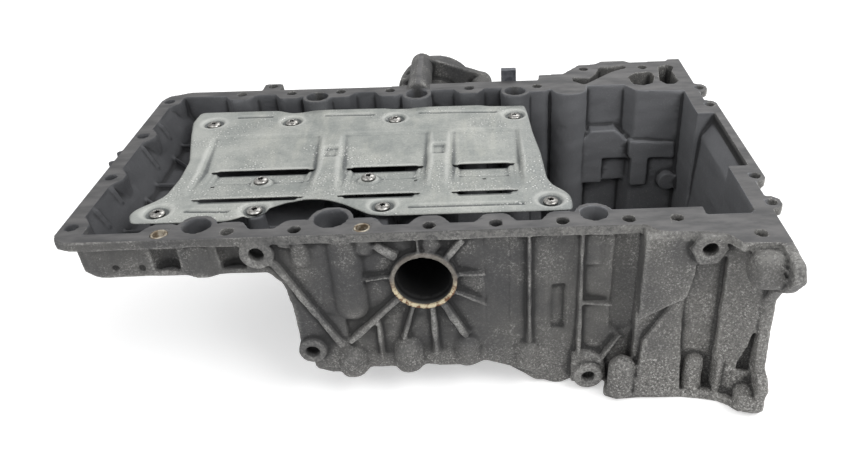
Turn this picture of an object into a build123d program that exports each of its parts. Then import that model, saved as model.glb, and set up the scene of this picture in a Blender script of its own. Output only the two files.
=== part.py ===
"""Engine oil pan: a deep-sump casting with a shaft tunnel across it, a pressed windage tray
screwed inside, two dowel sleeves, a harness clip and a drain plug.

Frame: the origin lies on the block face, midway between the second and third cylinders and
midway between the two long rows of bolts. X runs along the engine towards the gearbox,
Y across it towards the far side, Z up. Lengths are in millimetres.
"""
import os
from math import copysign, hypot, radians, tan

from build123d import *

# Block bolts and flange
CYLINDER_PITCH = 91.0
BOLT_PITCH = CYLINDER_PITCH / 2
ROW_Y = 118.25
BOLT_HOLE_R = 4.2
HEAD_CHANNEL_R = 9.0
FLANGE_T = 7.0
FLANGE_EDGE = 8.25
CHANNEL_LOW_Z = -30.0
DEEP_CHANNEL_LOW_Z = -90.0
STUB_Z = -14.0
LEFT_BOLT_X = -199.5
RIGHT_BOLT_X = 285.0
CRANK_END_X = 293.0
CRANK_END_HALF = 66.0
SIDE_BOLT_PITCH = 71.0

# Walls and depths
WALL = 5.5
WALL_Y = 121.0
LEFT_WALL_X = -201.0
BASIN_DEPTH = 36.0
BASIN_FLOOR_T = 5.0
BASIN_CORNER_R = 20.0
MIDDLE_DEPTH = 124.0
SUMP_DEPTH = 151.0
FLOOR_T = 6.0
MIDDLE_LEFT_X = -50.0
SUMP_LEFT_X = 78.0
GEARBOX_FACE_X = 284.0
BLIND_Y = WALL_Y - 3.0
CRANK_WALL_X = GEARBOX_FACE_X - 7.0
CRANK_WALL_LOW_Z = -118.0
DRAFT = 1.0
MIDDLE_FOOT_R = 8.0
SUMP_FOOT_R = 9.0
CORNER_SPARE = 0.5
PAD_DEPTH = 10.0
PAD_HALF = 8.0
PAD_FOOT = 15.0
PAD_CREST_R = 7.0
SIDE_PAD_DEPTH = 7.0
SIDE_PAD_HALF = 4.0
SIDE_PAD_FOOT = 16.0
LEFT_SLOPE = 14.0
FLOOR_RIB_H = 5.0
FLOOR_RIB_W = 2.0

# Drain-back holes through the flange
DRAIN_HOLE_R = 9.5
DRAIN_RIM = 4.0
WIDE_DRAIN_R = 11.5
DRAIN_HOLE_DEPTH = 45.0

# Shaft tunnel
SHAFT_X = 39.5
SHAFT_Z = -41.0
SHAFT_BORE_R = 19.0
SHAFT_SEAT_R = 20.5
SHAFT_SEAT_DEPTH = 9.0
SHAFT_RIM_R = 23.5
TUNNEL_FACE_Y = -128.0
AXLE_FACE_Y = 206.0
AXLE_DISC_R = 41.5
AXLE_DISC_T = 12.0
AXLE_PLATE_Y = 186.0
AXLE_BOSS_R = 11.0

# Ribs and bosses of the front wall
RIB_W = 3.2
RIB_PROUD = 5.0
RIB_DRAFT = 0.5
BRACKET_BOSS_R = 11.5
BRACKET_HOLE_R = 5.2

# Gearbox end
STEP_Y = 137.0
STEP_X = 191.0
STEP_RECESS = 8.0
GEARBOX_PLATE_T = 8.0
GEARBOX_HOLE_R = 5.5
GEARBOX_HOLE_DEPTH = 11.0
EAR_R = 14.0
EAR_Z = -17.0
FOOT_BOSS_R = 11.0
FOOT_CLEARANCE = 0.4
STEP_BOSS = (234.0, -12.5)

# Windage tray
TRAY_TOP_Z = -8.0
SHEET_T = 1.5
TRAY_LIP = 3.0
BAY_FAR_Y = 47.0
BAY_NEAR_Y = -60.5
UPPER_SLOT_Y = -9.5
UPPER_SLOT_DROP = 4.5
SLOT_GAP = 2.0
LOWER_SLOT_RISE = 1.0
DIMPLE_R = 10.0
DIMPLE_DEPTH = 3.0
COLLAR_R = 8.0
COLLAR_Z = -10.0
SCREW_HOLE_R = 3.3
EDGE_POST_R = 7.0
MIDDLE_POST_R = 5.0

# Screws, sleeves, plug and clip
SCREW_HEAD_R = 5.6
SCREW_HEAD_H = 3.6
SCREW_SHANK_R = 2.95
SCREW_LENGTH = 14.0
SLEEVE_R = 5.6
SLEEVE_WALL = SLEEVE_R - BOLT_HOLE_R
SLEEVE_DEPTH = 6.0
PLUG_THREAD_R = 7.0
PLUG_HEAD_AF = 17.0
PLUG_HEAD_H = 7.0
PLUG_LENGTH = 14.0
WASHER_R = 11.0
WASHER_T = 1.5
PLUG_POS = (215.0, 40.0)
PLUG_POCKET_R = 17.0
PLUG_BOSS_H = 24.0
FIT = 0.05
CLIP_X = 111.0
CLIP_Y = 137.0
CLIP_W = 14.0
CLIP_H = 14.0
CLIP_LUG_W = 12.0
CLIP_LUG_T = 4.0
CLIP_LUG_TOP = 8.5

UPRIGHT = (Align.CENTER, Align.CENTER, Align.MIN)
EDGE_Y = ROW_Y + FLANGE_EDGE
INNER_Y = WALL_Y - WALL
INNER_LEFT_X = LEFT_WALL_X + WALL
INNER_RIGHT_X = GEARBOX_FACE_X - 14
NEAR_BOLTS = [BOLT_PITCH * k for k in range(-3, 5)]
FAR_BOLTS = [BOLT_PITCH * k for k in (-3, -2, -1, 0)] + [73.3, 3 * BOLT_PITCH]
LEFT_BOLTS = [SIDE_BOLT_PITCH * k for k in (-1.5, -0.5, 0.5, 1.5)]
RIGHT_BOLTS = [-102.5, -64.0, 66.0, 104.0]
EXTRA_BOLTS = [(215.0, -119.0), (265.8, -141.5), (184.9, 157.2), (242.7, 158.0), (-111.6, 135.8)]
DRAINS = [(-113.75, -109.25), (159.25, -109.25), (-65.8, 108.75), (25.1, 108.75), (115.7, 108.75)]
WIDE_DRAIN = (-22.75, -105.5)
SLEEVES = [(-BOLT_PITCH * 3, -ROW_Y), (0.0, -ROW_Y)]
BAYS = [(-141, -53), (-32, 37), (57, 112)]
SMALL_HOLES = [(-125, -35), (31, -35), (84, -35)]
PLUG_SEAT_Z = -SUMP_DEPTH + WASHER_T + PLUG_HEAD_H + 1


def outline(points, radius=0.0):
    """Closed face through the points, with every corner rounded by the radius."""
    face = make_face(Polyline(*points, close=True))
    if radius:
        face = fillet(face.vertices(), radius)
    return face


def drop(face, top, bottom, taper=0.0):
    """Solid of the face from height top down to height bottom, drawn in by the taper."""
    return extrude(Pos(0, 0, top) * face, amount=top - bottom, dir=(0, 0, -1), taper=taper)


def post(x, y, radius, top, bottom):
    """Upright cylinder between two heights."""
    return Pos(x, y, bottom) * Cylinder(radius, top - bottom, align=UPRIGHT)


def along_y(x, z, radius, y1, y2):
    """Cylinder along Y between y1 and y2."""
    return Pos(x, y2, z) * Rot(90, 0, 0) * Cylinder(radius, y2 - y1, align=UPRIGHT)


def along_x(y, z, radius, x1, x2):
    """Cylinder along X between x1 and x2."""
    return Pos(x1, y, z) * Rot(0, 90, 0) * Cylinder(radius, x2 - x1, align=UPRIGHT)


def wall_plate(points, y1, y2, radius=0.0):
    """Upright plate whose outline is given in X and Z, from y1 to y2."""
    face = Plane.XZ * outline(points, radius)
    return extrude(Pos(0, y2, 0) * face, amount=y2 - y1, dir=(0, -1, 0))


def end_plate(points, x1, x2, radius=0.0):
    """Upright plate whose outline is given in Y and Z, from x1 to x2."""
    face = Plane.YZ * outline(points, radius)
    return extrude(Pos(x1, 0, 0) * face, amount=x2 - x1, dir=(1, 0, 0))


def front_rib(x1, z1, x2, z2, width=RIB_W, proud=RIB_PROUD):
    """Cast rib on the front wall from (x1, z1) to (x2, z2), narrower at its crest."""
    length = hypot(x2 - x1, z2 - z1)
    run = Vector((x2 - x1) / length, 0, (z2 - z1) / length)
    plane = Plane(origin=(x1, -WALL_Y, z1), x_dir=(0, -1, 0), z_dir=run)
    foot, crest = width / 2 + RIB_DRAFT, width / 2 - RIB_DRAFT
    profile = outline([(-2, -foot), (-2, foot), (proud, crest), (proud, -crest)])
    return extrude(plane * profile, amount=length)


def flange_outline():
    """Outer edge of the block flange, seen from above."""
    corner = outline([
        (-208, -115), (-204.5, -123), (-197, -EDGE_Y), (191, -EDGE_Y), (201, -136.5), (238, -138),
        (245, -143), (251, -153), (GEARBOX_FACE_X, -154), (GEARBOX_FACE_X, 178), (272, 178), (268, 173),
        (232, 172), (227, 177), (205, 177), (197, 169.5), (181, 168), (164, 147), (140, 145), (139, 133), (46, 132), (-12, EDGE_Y), (-186, EDGE_Y),
        (-203, 119), (-208, 108)], 2.5)
    middle = Pos(CRANK_END_X - 6, 0) * Rectangle(12, 2 * CRANK_END_HALF)
    shape = corner + fillet(middle.vertices().sort_by(Axis.X)[-2:], 4)
    shape += Pos(-111.6, 133) * fillet(Rectangle(18, 17).vertices(), 3)
    for y in RIGHT_BOLTS:
        shape += Pos(GEARBOX_FACE_X, y) * Circle(CRANK_END_X - GEARBOX_FACE_X)
    return shape


def bolt_pad(x, row):
    """Trapezoid that thickens the wall inwards behind one bolt of a long row."""
    foot_y, crest_y = row * INNER_Y, row * (INNER_Y - PAD_DEPTH)
    pad = outline([(x - PAD_FOOT, foot_y + row), (x - PAD_HALF, crest_y), (x + PAD_HALF, crest_y),
                   (x + PAD_FOOT, foot_y + row)])
    crest = pad.vertices().sort_by(Axis.Y, reverse=row < 0)[:2]
    return fillet(crest, PAD_CREST_R)


def side_pad(y):
    """Pad behind one bolt of the left end; in a corner it runs on into the long wall."""
    crest_x = INNER_LEFT_X + SIDE_PAD_DEPTH
    pad = outline([(INNER_LEFT_X - 1, y - SIDE_PAD_FOOT), (crest_x, y - SIDE_PAD_HALF),
                   (crest_x, y + SIDE_PAD_HALF), (INNER_LEFT_X - 1, y + SIDE_PAD_FOOT)])
    pad = fillet(pad.vertices().sort_by(Axis.X)[-2:], PAD_CREST_R)
    if abs(y) > SIDE_BOLT_PITCH:
        pad += Pos(crest_x - SIDE_PAD_DEPTH / 2, y + copysign(10, y)) * Rectangle(SIDE_PAD_DEPTH, 20)
    return pad


def inner_outline():
    """Inner edge of the flange and of the walls below it, seen from above."""
    face = outline([(INNER_LEFT_X, -INNER_Y), (INNER_RIGHT_X, -INNER_Y), (INNER_RIGHT_X, INNER_Y),
                    (INNER_LEFT_X, INNER_Y)], 5.0)
    for x in NEAR_BOLTS:
        face -= bolt_pad(x, -1)
    for x in FAR_BOLTS:
        face -= bolt_pad(x, 1)
    for x, y in DRAINS:
        face -= Pos(x, y) * Circle(DRAIN_HOLE_R + DRAIN_RIM)
    face -= Pos(*WIDE_DRAIN) * Circle(WIDE_DRAIN_R + DRAIN_RIM)
    for y in LEFT_BOLTS:
        face -= side_pad(y)
    face -= Pos(200, -INNER_Y + 4) * Rectangle(72, 12)
    face -= Pos(166, 112) * Ellipse(17, 16)
    return face - outline([(214, 120), (227, 101), (274, 97), (274, 120)], 5.0)


def zone(face, x1, x2):
    """Part of a plan outline that lies between x1 and x2."""
    return face & Pos((x1 + x2) / 2, 0) * Rectangle(x2 - x1, 400)


def outer_bodies():
    """Solid outside of the casting: flange, shallow basin, middle box, deep sump and rear block."""
    basin = outline([(LEFT_WALL_X, -WALL_Y), (GEARBOX_FACE_X - 2, -WALL_Y), (GEARBOX_FACE_X - 2, WALL_Y),
                     (LEFT_WALL_X, WALL_Y)])
    left_corners = basin.vertices().sort_by(Axis.X)[:2]
    basin = fillet(left_corners, BASIN_CORNER_R)
    body = drop(flange_outline(), 0, -FLANGE_T) + drop(basin, -1, -BASIN_DEPTH + 2, taper=2)

    middle = outline([(MIDDLE_LEFT_X, -WALL_Y), (130, -WALL_Y), (130, WALL_Y), (MIDDLE_LEFT_X, WALL_Y)])
    middle = fillet(middle.vertices().sort_by(Axis.X)[:2], corner_radius(MIDDLE_FOOT_R, MIDDLE_DEPTH))
    body += fillet_foot(drop(middle, -2, -MIDDLE_DEPTH, taper=DRAFT), MIDDLE_FOOT_R)

    sump = outline([(SUMP_LEFT_X + 40, -WALL_Y), (GEARBOX_FACE_X - 3, -WALL_Y), (GEARBOX_FACE_X - 3, WALL_Y),
                    (SUMP_LEFT_X, WALL_Y), (SUMP_LEFT_X, -WALL_Y + 35)])
    sump = fillet(sump.vertices().sort_by(Axis.X)[:3], corner_radius(SUMP_FOOT_R, SUMP_DEPTH))
    body += fillet_foot(drop(sump, -2, -SUMP_DEPTH, taper=DRAFT), SUMP_FOOT_R)

    step = outline([(STEP_X, -100), (STEP_X, -STEP_Y), (GEARBOX_FACE_X - 2, -STEP_Y),
                    (GEARBOX_FACE_X - 2, -100)])
    body += drop(step, -2, -SUMP_DEPTH + 4)
    body -= wall_plate([(STEP_X - 2, -76), (224, -57), (228, -26), (249, -22), (252, -147),
                        (STEP_X - 2, -147)], -STEP_Y - 2, -STEP_Y + STEP_RECESS)

    rear = outline([(60, 110), (60, 130), (140, 131), (142, 143), (166, 145), (183, 165), (228, 169),
                    (GEARBOX_FACE_X - 2, 174), (GEARBOX_FACE_X - 2, 110)], 3)
    body += crank_end(CRANK_END_X, CRANK_END_HALF, -1, GEARBOX_FACE_X - 4, -34)
    return body + drop(rear, -2, -44)


def crank_end(front_x, half, top, foot_x, foot_z):
    """Wedge at the gearbox end that leans in from front_x at the top to foot_x at foot_z."""
    return wall_plate([(foot_x - 8, top), (front_x, top), (front_x, -FLANGE_T), (foot_x, foot_z),
                       (foot_x - 8, foot_z)], -half, half)


def corner_radius(foot_radius, depth):
    """Radius of an upright corner at the top that still leaves room for the foot's at the bottom."""
    return foot_radius + depth * tan(radians(DRAFT)) + CORNER_SPARE


def fillet_foot(solid, radius):
    """Round the lowest edges of a tapered body."""
    lowest = solid.faces().sort_by(Axis.Z)[0]
    return fillet(lowest.edges(), radius)


def inner_space():
    """Space inside the walls: shallow all over, deeper below the tunnel and in the sump."""
    plan = inner_outline()
    space = drop(plan, 1, -BASIN_DEPTH + BASIN_FLOOR_T)
    space += drop(zone(plan, MIDDLE_LEFT_X + WALL + 2, SUMP_LEFT_X + 60), -20, -MIDDLE_DEPTH + FLOOR_T)
    deep = zone(plan, SUMP_LEFT_X + WALL, 400)
    cut_corner = outline([(SUMP_LEFT_X - 1, -INNER_Y - 5), (SUMP_LEFT_X + 46, -INNER_Y - 5),
                          (SUMP_LEFT_X - 1, -74)])
    space += drop(deep - cut_corner, -20, -SUMP_DEPTH + FLOOR_T)
    space += crank_end(CRANK_WALL_X, CRANK_END_HALF - 18, 1, INNER_RIGHT_X, CRANK_WALL_LOW_Z)
    return space + crank_end(CRANK_END_X - 8, CRANK_END_HALF - 18, 1, INNER_RIGHT_X, -32)


def tunnel():
    """Tube for the axle shaft, its near rim and its far mounting disc and plate."""
    tube = along_y(SHAFT_X, SHAFT_Z, SHAFT_RIM_R, TUNNEL_FACE_Y, AXLE_FACE_Y)
    tube += along_y(SHAFT_X, SHAFT_Z, AXLE_DISC_R, AXLE_FACE_Y - AXLE_DISC_T, AXLE_FACE_Y)
    bosses = [(26, -5), (85, -26), (82, -84), (-3, -80)]
    plate = wall_plate([(22, 5), (32, 5), (90, -15), (93, -84), (82, -94), (-3, -91), (-14, -80)],
                       AXLE_PLATE_Y, AXLE_PLATE_Y + 9, 3)
    tube += plate
    for x, z in bosses:
        tube += along_y(x, z, AXLE_BOSS_R, WALL_Y - 3, AXLE_PLATE_Y + 12)
    for x in (SHAFT_X - 32, SHAFT_X + 32):
        tube += wall_plate([(x - 3, SHAFT_Z + 10), (x + 3, SHAFT_Z + 10), (x + 3, -100), (x - 3, -100)],
                           WALL_Y - 3, AXLE_PLATE_Y + 2)
    holes = [along_y(x, z, BRACKET_HOLE_R, AXLE_PLATE_Y - 20, AXLE_PLATE_Y + 13) for x, z in bosses]
    return tube, holes


def front_relief():
    """Ribs, bosses, columns and panels that stand on the near wall."""
    near = -WALL_Y
    parts = []
    bracket = wall_plate([(-84, -4), (-84, -18), (-72, -28), (-60, -42), (-56, -60), (-55, -100),
                          (-47, -116), (-38, -122), (-20, -123), (-20, -4)], near - 1, near + 7, 2)
    parts.append(bracket)
    ribs = [(21.5, -22, 8, -11, 6), (37, -4, 37, -18, 2.4), (56, -24, 68, -9, 5), (63, -38, 83, -39, 2.6),
            (60, -53, 84, -66, 3), (51, -61, 68, -96, 5.5), (44, -64, 44.5, -112, 4),
            (30.5, -64, 21, -96, 3.5), (21, -57, -19, -97, 4.5), (4, -78, 3.8, -114, 3),
            (16, -38, -2, -41, 2.6), (-63, -22, -24, -100, 5.5), (113.5, -5, 114, -104, 3),
            (150, -5, 151, -122, 3.4), (151, -67, 187, -71, 3), (167, -124, 187.5, -88, 3.2),
            (-57, -8, -50, -9, 4)]
    for x1, z1, x2, z2, width in ribs:
        parts.append(front_rib(x1, z1, x2, z2, width))

    parts.append(post(-14, near + 8, 14, -4, -66) + Pos(-14, near + 8, -66) * Sphere(14))
    parts.append(post(-44, near + 3, 7.5, -4, -22) + Pos(-44, near + 3, -22) * Sphere(7.5))
    for x in NEAR_BOLTS[3:5]:
        parts.append(domed_stub(x))
    for x, radius, shoulder, bottom in ((-19, 10.5, -114.5, -129.5), (23.5, 11, -107.5, -126),
                                        (67.5, 9, -107.5, -123.5), (112.5, 8.5, -113.5, -131)):
        parts.append(domed_column(x, near + 4, radius, shoulder, bottom))
    parts.append(wall_plate([(-50, -112), (-48, -126), (-37, -129), (-14, -129), (-6, -125.8), (5, -125.8),
                             (32, -124.2), (44, -126.5), (69, -127.8), (80, -123), (98, -130), (112, -135),
                             (124, -139), (124, -112)], near + 1, near + 14))

    bosses = [(-72, -14, BRACKET_BOSS_R), (-46.5, -102, 10), (159, -137, BRACKET_BOSS_R)]
    for x, z, radius in bosses:
        parts.append(along_y(x, z, radius, -EDGE_Y - 1, near + 12))
    foot_plate = wall_plate([(146, -118), (151, -112), (170, -120), (174, -145), (146, -145)], near - 3,
                            near + 8)
    parts.append(foot_plate)
    return parts


def step_relief():
    """Boss, wedge, feet and small bosses on the stepped part of the near wall."""
    face_y = -STEP_Y
    wedge = wall_plate([(223, -54), (196, -98), (193, -146), (227, -146)], face_y - 5, face_y + 10)
    wedge &= end_plate([(face_y + 9, -50), (face_y + 7, -54), (face_y - 4, -146), (face_y + 9, -146)], 190,
                       230)
    x, z = STEP_BOSS
    hexagon = Plane.XZ * (Pos(x, z) * RegularPolygon(BRACKET_BOSS_R + 2, 6))
    parts = [wedge, extrude(Pos(0, face_y + 12, 0) * hexagon, amount=17, dir=(0, -1, 0))]
    parts.append(domed_column(183, face_y + 4, 10, -123, -146))
    parts.append(domed_column(237, face_y + 5, 7.5, -121, -146))
    parts.append(Pos(254, face_y + 1, -131) * Box(3.2, 12, 38))
    sole = outline([(174, -118), (170, -133), (178, -138), (230, -138.7), (255, -144.5), (263, -150),
                    (268, -156), (GEARBOX_FACE_X - 2, -156), (GEARBOX_FACE_X - 2, -100)], 2.5)
    parts.append(drop(sole, -SUMP_DEPTH + 7, -SUMP_DEPTH))
    return parts


def gearbox_end():
    """Frame that meets the gearbox, with its ears, feet, domes and the holes into them."""
    near = [(-153, -0.5), (-177, -2), (-183, -12), (-171, -28), (-154, -41), (-147, -53), (-148, -79),
            (-152, -112), (-160, -114), (-166, -122), (-163, -131), (-164, -143), (-158, -SUMP_DEPTH),
            (-146, -SUMP_DEPTH), (-130, -SUMP_DEPTH + 4)]
    far = [(-y, z) for y, z in reversed(near)]
    plate = end_plate(near + far, GEARBOX_FACE_X - GEARBOX_PLATE_T, GEARBOX_FACE_X, 2)
    parts = [plate]
    holes = []
    foot_z = -SUMP_DEPTH + FOOT_BOSS_R + FOOT_CLEARANCE
    for side in (-1, 1):
        parts.append(domed_boss(side * 158, EAR_Z, EAR_R, 266))
        parts.append(domed_boss(side * 152, foot_z, FOOT_BOSS_R, 274))
        slope = outline([(250, side * 128), (252, side * 137), (270, side * 145),
                         (GEARBOX_FACE_X - 2, side * 146), (GEARBOX_FACE_X - 2, side * 125)])
        parts.append(drop(slope, -5, -SUMP_DEPTH + 5))
        for y, z in ((side * 166, EAR_Z + 3), (side * 154, foot_z)):
            bottom_x = GEARBOX_FACE_X - GEARBOX_HOLE_DEPTH
            holes.append(along_x(y, z, GEARBOX_HOLE_R, bottom_x, GEARBOX_FACE_X + 2))
    return parts, holes


def domed_column(x, y, radius, shoulder, bottom):
    """Upright column whose top rounds off above the shoulder height."""
    return post(x, y, radius, shoulder, bottom) + Pos(x, y, shoulder) * Sphere(radius)


def domed_stub(x):
    """Short boss under the flange round a near bolt hole, rounded off at its lower end."""
    radius = FLANGE_EDGE - 0.5
    return post(x, -ROW_Y, radius, -1, STUB_Z) + Pos(x, -ROW_Y, STUB_Z) * Sphere(radius)


def domed_boss(y, z, radius, x):
    """Boss along X behind the gearbox plate, rounded off at its free end."""
    boss = along_x(y, z, radius, x - 0.8 * radius, GEARBOX_FACE_X - 1)
    return fillet(boss.edges().sort_by(Axis.X)[0], 0.75 * radius)


def rear_pockets():
    """Three lightening pockets in the top of the rear block."""
    slot = outline([(172, 137), (172, 128), (181, 119), (193, 130), (212, 149), (227, 158), (225, 163),
                    (201, 160), (195, 144), (188, 133), (180, 134)], 1.2)
    kidney = outline([(225, 134), (233, 143), (248, 146), (250, 134), (245, 118), (236, 113), (227, 116)], 3)
    side = outline([(259, 158), (269, 163), (273, 157), (269, 146), (270, 121), (264, 114), (257, 115),
                    (253, 124)], 2)
    return [drop(slot, 1, -28), drop(kidney, 1, -34), drop(side, 1, -30)]


def sump_relief():
    """Raised panel with two legs, a stub and soft columns on the far wall of the sump."""
    panel = wall_plate([(179, -97), (179, -62), (181, -50), (187, -41), (210, -40), (222, -51),
                        (246, -51), (267, -50), (267, -70), (241, -71), (241, -97), (226, -97),
                        (226, -71), (199, -71), (199, -97)], INNER_Y - 13, INNER_Y + 2, 1.5)
    backing = wall_plate([(182, -43), (266, -53), (266, -96), (182, -96)], INNER_Y - 8.5, INNER_Y + 2)
    shelf = wall_plate([(223, -49), (266, -52), (267, -68), (242, -67), (242, -97), (226, -97), (226, -67),
                        (223, -67)], INNER_Y - 20.5, INNER_Y + 2, 1.5)
    stub = along_y(262, -91, 9, INNER_Y - 26, INNER_Y + 2)
    fin = wall_plate([(268, -91), (281, -110), (266, -101)], INNER_Y - 18, INNER_Y + 2)
    ribs = [Pos(x, INNER_Y - 6, -122) * Box(3, 16, 50) for x in (244, 254)]
    return [panel, backing, shelf, stub, fin] + ribs


def tray_screw_points():
    """Places of the tray's screws: round the edge and in the middle panels."""
    far = [(x, 74.5) for x in (-152.7, -84, 7.2, 113.4)]
    near = [(x, -75.5) for x in (-153.8, -83.6, 9.4, 132.4)]
    middle = [(x, -32) for x in (-88.3, -5.4)]
    return far + near, middle


def screw_seat_z(y):
    """Height that a tray screw's head sits on: a dimple at the edges, a collar in the middle."""
    return COLLAR_Z if abs(y) < 50 else TRAY_TOP_Z - DIMPLE_DEPTH


def tray_posts():
    """Threaded posts that carry the tray, on the floors and on struts from the walls."""
    edge, middle = tray_screw_points()
    edge_seat = TRAY_TOP_Z - DIMPLE_DEPTH - SHEET_T
    middle_seat = COLLAR_Z - SHEET_T
    parts = []
    for x, y in edge:
        if x < MIDDLE_LEFT_X:
            parts.append(post(x, y, EDGE_POST_R, edge_seat, -BASIN_DEPTH + 2))
            continue
        side = 1 if y > 0 else -1
        parts.append(post(x, y, EDGE_POST_R, edge_seat, edge_seat - 26))
        reach = INNER_Y + 2 - abs(y)
        parts.append(Pos(x, side * (abs(y) + reach / 2), edge_seat - 14) * Box(8, reach, 24))
    (basin_x, basin_y), (deep_x, deep_y) = middle
    parts.append(post(basin_x, basin_y, MIDDLE_POST_R, middle_seat, -BASIN_DEPTH + 2))
    floor = -MIDDLE_DEPTH + 2
    parts.append(Pos(deep_x, deep_y, floor) * Cone(10, MIDDLE_POST_R, middle_seat - floor, align=UPRIGHT))
    return parts


def basin_slope():
    """Slope of the left wall down to the basin's floor, with the short ribs that stand on it."""
    floor_z = -BASIN_DEPTH + BASIN_FLOOR_T
    foot_x = INNER_LEFT_X + LEFT_SLOPE
    parts = [wall_plate([(INNER_LEFT_X - 1, -1), (INNER_LEFT_X, -1), (foot_x, floor_z - 1),
                         (INNER_LEFT_X - 1, floor_z - 1)], -INNER_Y - 1, INNER_Y + 1)]
    for y, foot_z in ((-80, -16), (-50, -14), (18.5, -21), (62, -15)):
        shift = LEFT_SLOPE * foot_z / floor_z
        parts.append(wall_plate([(INNER_LEFT_X - 1, -1), (INNER_LEFT_X + 3, -1.5),
                                 (INNER_LEFT_X + shift + 1.5, foot_z), (INNER_LEFT_X - 1, foot_z - 4)],
                                y - FLOOR_RIB_W / 2, y + FLOOR_RIB_W / 2))
    return parts


def basin_ribs():
    """Low stiffening ribs on the floor of the basin, straight and at 45 degrees."""
    middle_z = -BASIN_DEPTH + BASIN_FLOOR_T + FLOOR_RIB_H / 2 - 0.5
    straight, slanting = (Box(length, FLOOR_RIB_W, FLOOR_RIB_H + 1) for length in (140, 78))
    ribs = [Pos(-122, y, middle_z) * straight for y in (-SIDE_BOLT_PITCH, 0, SIDE_BOLT_PITCH)]
    return ribs + [Pos(-161, y, middle_z) * Rot(0, 0, -45) * slanting for y in (-46, 25)]


def outer_lugs():
    """Small lugs outside the flange: one for the harness clip, one far one, two at the left end."""
    clip_lug = Pos(CLIP_X, CLIP_Y, CLIP_LUG_TOP - 14) * Box(CLIP_LUG_W, CLIP_LUG_T, 28)
    clip_arm = Pos(CLIP_X, CLIP_Y - 3, CLIP_LUG_TOP - 24) * Box(CLIP_LUG_W, CLIP_LUG_T + 6, 8)
    far_lug = Pos(11.5, 156, -8) * Box(7, 12, 12)
    far_arm = Pos(11.5, 140, -10) * Box(7, 32, 6)
    left = [drop(outline([(-205, y - 5), (-214, y - 1.5), (-214, y + 1.5), (-205, y + 5)]), -2.5, -8)
            for y in (13, -4)]
    return [clip_lug, clip_arm, far_lug, far_arm] + left


def head_channel(x, y):
    """Groove in a long wall that lets a bolt's head up to the flange, rounded off low down."""
    if x < 0:
        return post(x, y, HEAD_CHANNEL_R, -FLANGE_T - 2, CHANNEL_LOW_Z)
    groove = post(x, y, HEAD_CHANNEL_R, -FLANGE_T - 2, DEEP_CHANNEL_LOW_Z)
    return groove + Pos(x, y, DEEP_CHANNEL_LOW_Z) * Sphere(HEAD_CHANNEL_R)


def pan_casting():
    """The whole casting: outside, less the inside, plus what stands in it, less its holes."""
    casting = outer_bodies() + front_relief() + step_relief()
    end_parts, end_holes = gearbox_end()
    casting += end_parts + outer_lugs()
    casting -= inner_space()
    tube, axle_holes = tunnel()
    casting += [tube] + sump_relief() + tray_posts() + basin_slope() + basin_ribs()
    casting += [post(x, y, DRAIN_HOLE_R + DRAIN_RIM, -1, -DRAIN_HOLE_DEPTH + 10) for x, y in DRAINS]

    cuts = list(end_holes) + list(axle_holes) + rear_pockets()
    bore = along_y(SHAFT_X, SHAFT_Z, SHAFT_BORE_R, TUNNEL_FACE_Y - 1, AXLE_FACE_Y + 1)
    cuts.append(bore)
    for face_y, sign in ((TUNNEL_FACE_Y, 1), (AXLE_FACE_Y, -1)):
        start = min(face_y - sign, face_y + sign * SHAFT_SEAT_DEPTH)
        cuts.append(along_y(SHAFT_X, SHAFT_Z, SHAFT_SEAT_R, start, start + SHAFT_SEAT_DEPTH + 1))
    rows = [(x, -ROW_Y) for x in NEAR_BOLTS] + [(x, ROW_Y) for x in FAR_BOLTS]
    rows += [(LEFT_BOLT_X, y) for y in LEFT_BOLTS] + [(RIGHT_BOLT_X, y) for y in RIGHT_BOLTS]
    for x, y in rows + EXTRA_BOLTS:
        cuts.append(post(x, y, BOLT_HOLE_R, 1, -16))
    for x in (-3 * BOLT_PITCH, -2 * BOLT_PITCH, 2 * BOLT_PITCH, 3 * BOLT_PITCH, 4 * BOLT_PITCH):
        cuts.append(head_channel(x, -ROW_Y - 2))
    for x in (-3 * BOLT_PITCH, -2 * BOLT_PITCH, 0.0, 3 * BOLT_PITCH):
        cuts.append(head_channel(x, ROW_Y + 2))
    for x, y in DRAINS:
        cuts.append(post(x, y, DRAIN_HOLE_R, 1, -DRAIN_HOLE_DEPTH if x > MIDDLE_LEFT_X else -28))
    cuts.append(post(*WIDE_DRAIN, WIDE_DRAIN_R, 1, -60))
    for x, z in ((-72, -14), (-46.5, -102), (159, -137)):
        cuts.append(along_y(x, z, BRACKET_HOLE_R, -EDGE_Y - 2, -BLIND_Y))
    cuts.append(along_y(*STEP_BOSS, BRACKET_HOLE_R, -STEP_Y - 6, -STEP_Y + 8))
    for x, z in ((-172, -26), (-154, -27)):
        cuts.append(along_y(x, z, 3, -WALL_Y - 2, -BLIND_Y))
    cuts.append(wall_plate([(GEARBOX_FACE_X - 8.5, -74), (266, -115), (266, -121),
                            (GEARBOX_FACE_X - 8.5, -121)], -148, -138))
    edge, middle = tray_screw_points()
    for x, y in edge + middle:
        cuts.append(post(x, y, SCREW_SHANK_R + FIT, TRAY_TOP_Z, screw_seat_z(y) - SCREW_LENGTH - 1))
    for x, y in SLEEVES:
        cuts.append(post(x, y, SLEEVE_R, 1, -SLEEVE_DEPTH))
    px, py = PLUG_POS
    casting += post(px, py, PLUG_POCKET_R + WALL, -SUMP_DEPTH + PLUG_BOSS_H, -SUMP_DEPTH + 1)
    cuts.append(post(px, py, PLUG_THREAD_R + FIT, 0, -SUMP_DEPTH - 1))
    cuts.append(post(px, py, PLUG_POCKET_R, PLUG_SEAT_Z, -SUMP_DEPTH - 1))
    return casting - cuts


def bay_profile(points):
    """Bent sheet seen from the side: the points give its top in Y and Z, the sheet hangs below."""
    below = [(y, z - SHEET_T) for y, z in reversed(points)]
    return Plane.YZ * outline(points + below)


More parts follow.
